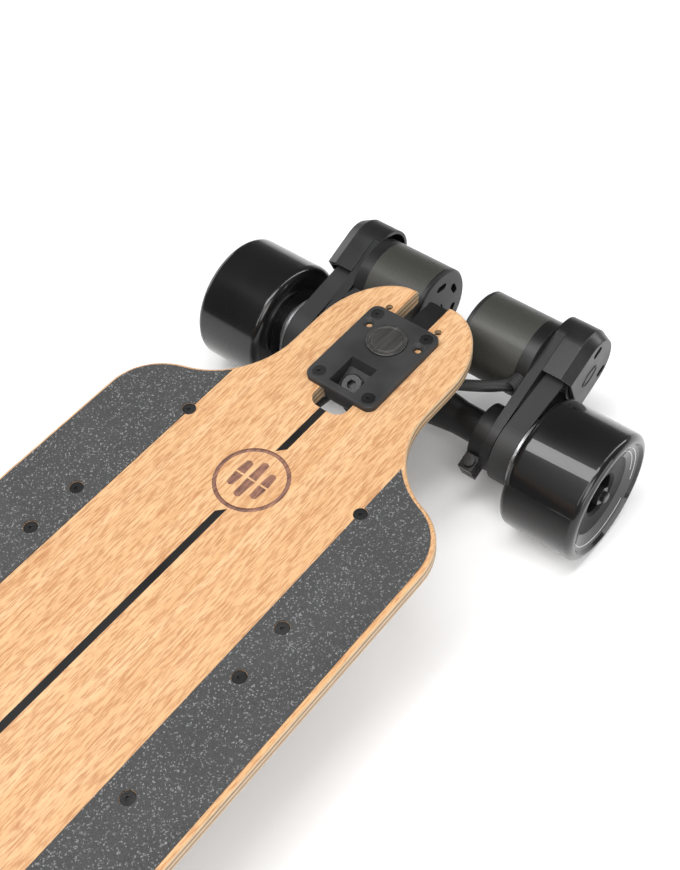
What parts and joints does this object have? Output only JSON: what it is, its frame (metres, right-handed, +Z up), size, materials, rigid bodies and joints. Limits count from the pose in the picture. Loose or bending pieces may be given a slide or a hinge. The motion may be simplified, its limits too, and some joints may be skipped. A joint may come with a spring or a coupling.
{
  "type": "electric skateboard",
  "caption": "Electric longboard: drop-through bamboo deck with grip panels, double-kingpin trucks, belt-driven rear wheels with guards, and a battery tray below.",
  "frame": {"origin": "on the ground under the middle of the whole board's bounding box", "axes": "+X to the nose, +Y to the rider's left, +Z up; the motors are at the -X end"},
  "size_m": [1.0528, 0.332, 0.1237],
  "materials": {
    "bamboo": "clear-varnished bamboo",
    "grip": "coarse grit",
    "stripe": "flush dark inlay",
    "plate_metal": "matte charcoal anodised",
    "badge_metal": "gunmetal",
    "black_steel": "blackened",
    "bright_steel": "plain",
    "bushing": "smooth",
    "cup": "smooth",
    "truck_metal": "satin black anodised",
    "tyre": "glossy",
    "core": "smooth",
    "bearing": "plain",
    "pulley": "machined",
    "rotor": "plain",
    "stator": "wound",
    "belt": "matte",
    "can": "dark olive grey, fine weave",
    "cap_metal": "satin black",
    "guard": "satin black",
    "lead": "braided sleeve",
    "tray": "fine texture",
    "cell": "sleeved cell",
    "controller": "anodised",
    "port": "smooth",
    "soft_cap": "smooth",
    "button": "smooth"
  },
  "bodies": {
    "board": {"deck": "bamboo", "grip_tape": "grip", "centre_stripe": "stripe", "rear_baseplate": "plate_metal", "front_baseplate": "plate_metal", "plate_badges": "badge_metal", "truck_screws": "black_steel", "truck_nuts": "bright_steel", "enclosure_tray": "tray", "enclosure_screws": "black_steel", "battery_cells": "cell", "motor_controller": "controller", "charge_socket": "port", "inner_kingpins": "black_steel", "inner_pivot_cups": "cup", "rear_inner_bushings": "bushing", "front_inner_bushings": "bushing", "controller_leads": "lead"},
    "charge_cap": {"charge_cap": "soft_cap"},
    "power_button": {"power_button": "button"},
    "rear_hanger": {"rear_hanger": "truck_metal", "rear_axle": "bright_steel", "rear_axle_nuts": "bright_steel", "motor_mounts": "truck_metal", "motor_cans": "can", "motor_end_caps": "cap_metal", "motor_stators": "stator", "belt_guards": "guard", "drive_belts": "belt", "motor_screws": "black_steel", "motor_leads": "lead"},
    "front_hanger": {"front_hanger": "truck_metal", "front_axle": "bright_steel", "front_axle_nuts": "bright_steel"},
    "rear_arm": {"rear_arm": "truck_metal", "rear_outer_kingpin": "black_steel", "rear_outer_bushings": "bushing", "rear_outer_pivot_cup": "cup"},
    "rear_left_wheel": {"rear_left_tyre": "tyre", "rear_left_core": "core", "rear_left_bearings": "bearing", "left_wheel_pulley": "pulley"},
    "rear_right_wheel": {"rear_right_tyre": "tyre", "rear_right_core": "core", "rear_right_bearings": "bearing", "right_wheel_pulley": "pulley"},
    "front_arm": {"front_arm": "truck_metal", "front_outer_kingpin": "black_steel", "front_outer_bushings": "bushing", "front_outer_pivot_cup": "cup"},
    "front_left_wheel": {"front_left_tyre": "tyre", "front_left_core": "core", "front_left_bearings": "bearing"},
    "front_right_wheel": {"front_right_tyre": "tyre", "front_right_core": "core", "front_right_bearings": "bearing"},
    "left_motor_rotor": {"left_rotor": "rotor", "left_motor_pulley": "pulley"},
    "right_motor_rotor": {"right_rotor": "rotor", "right_motor_pulley": "pulley"}
  },
  "joints": [
    {"name": "rear_arm_lean", "type": "hinge", "parent": "board", "child": "rear_arm", "pos_m": [-0.37629, 0, 0.0889], "axis": [0.9063, 0, -0.4226], "range_deg": [-12, 12], "stiffness_Nm_per_rad": 60, "deforming": ["rear_inner_bushings", "controller_leads", "motor_leads"]},
    {"name": "rear_hanger_lean", "type": "hinge", "parent": "rear_arm", "child": "rear_hanger", "pos_m": [-0.43871, 0, 0.0739], "axis": [0.9063, 0, -0.4226], "range_deg": [-12, 12], "stiffness_Nm_per_rad": 60, "deforming": ["rear_outer_bushings", "motor_leads"]},
    {"name": "rear_left_wheel_spin", "type": "hinge", "parent": "rear_hanger", "child": "rear_left_wheel", "pos_m": [-0.42849, 0, 0.0485], "axis": [0, 1, 0], "continuous": true},
    {"name": "rear_right_wheel_spin", "type": "hinge", "parent": "rear_hanger", "child": "rear_right_wheel", "pos_m": [-0.42849, 0, 0.0485], "axis": [0, 1, 0], "continuous": true},
    {"name": "front_arm_lean", "type": "hinge", "parent": "board", "child": "front_arm", "pos_m": [0.42571, 0, 0.0889], "axis": [-0.9063, 0, -0.4226], "range_deg": [-12, 12], "stiffness_Nm_per_rad": 60, "deforming": ["front_inner_bushings"]},
    {"name": "front_hanger_lean", "type": "hinge", "parent": "front_arm", "child": "front_hanger", "pos_m": [0.48813, 0, 0.0739], "axis": [-0.9063, 0, -0.4226], "range_deg": [-12, 12], "stiffness_Nm_per_rad": 60, "deforming": ["front_outer_bushings"]},
    {"name": "front_left_wheel_spin", "type": "hinge", "parent": "front_hanger", "child": "front_left_wheel", "pos_m": [0.47791, 0, 0.0485], "axis": [0, 1, 0], "continuous": true},
    {"name": "front_right_wheel_spin", "type": "hinge", "parent": "front_hanger", "child": "front_right_wheel", "pos_m": [0.47791, 0, 0.0485], "axis": [0, 1, 0], "continuous": true},
    {"name": "left_motor_spin", "type": "hinge", "parent": "rear_hanger", "child": "left_motor_rotor", "pos_m": [-0.48792, 0, 0.07143], "axis": [0, 1, 0], "continuous": true},
    {"name": "right_motor_spin", "type": "hinge", "parent": "rear_hanger", "child": "right_motor_rotor", "pos_m": [-0.48792, 0, 0.07143], "axis": [0, 1, 0], "continuous": true},
    {"name": "power_button_press", "type": "slide", "parent": "board", "child": "power_button", "axis": [0, -1, 0], "range_m": [0, 0.0012], "stiffness_N_per_m": 400},
    {"name": "charge_cap_swing", "type": "hinge", "parent": "board", "child": "charge_cap", "pos_m": [0.28671, 0.0968, 0.0982], "axis": [1, 0, 0], "range_deg": [0, 95]}
  ],
  "couplings": [
    {"joint": "left_motor_spin", "follows": "rear_left_wheel_spin", "ratio": 2},
    {"joint": "right_motor_spin", "follows": "rear_right_wheel_spin", "ratio": 2}
  ]
}
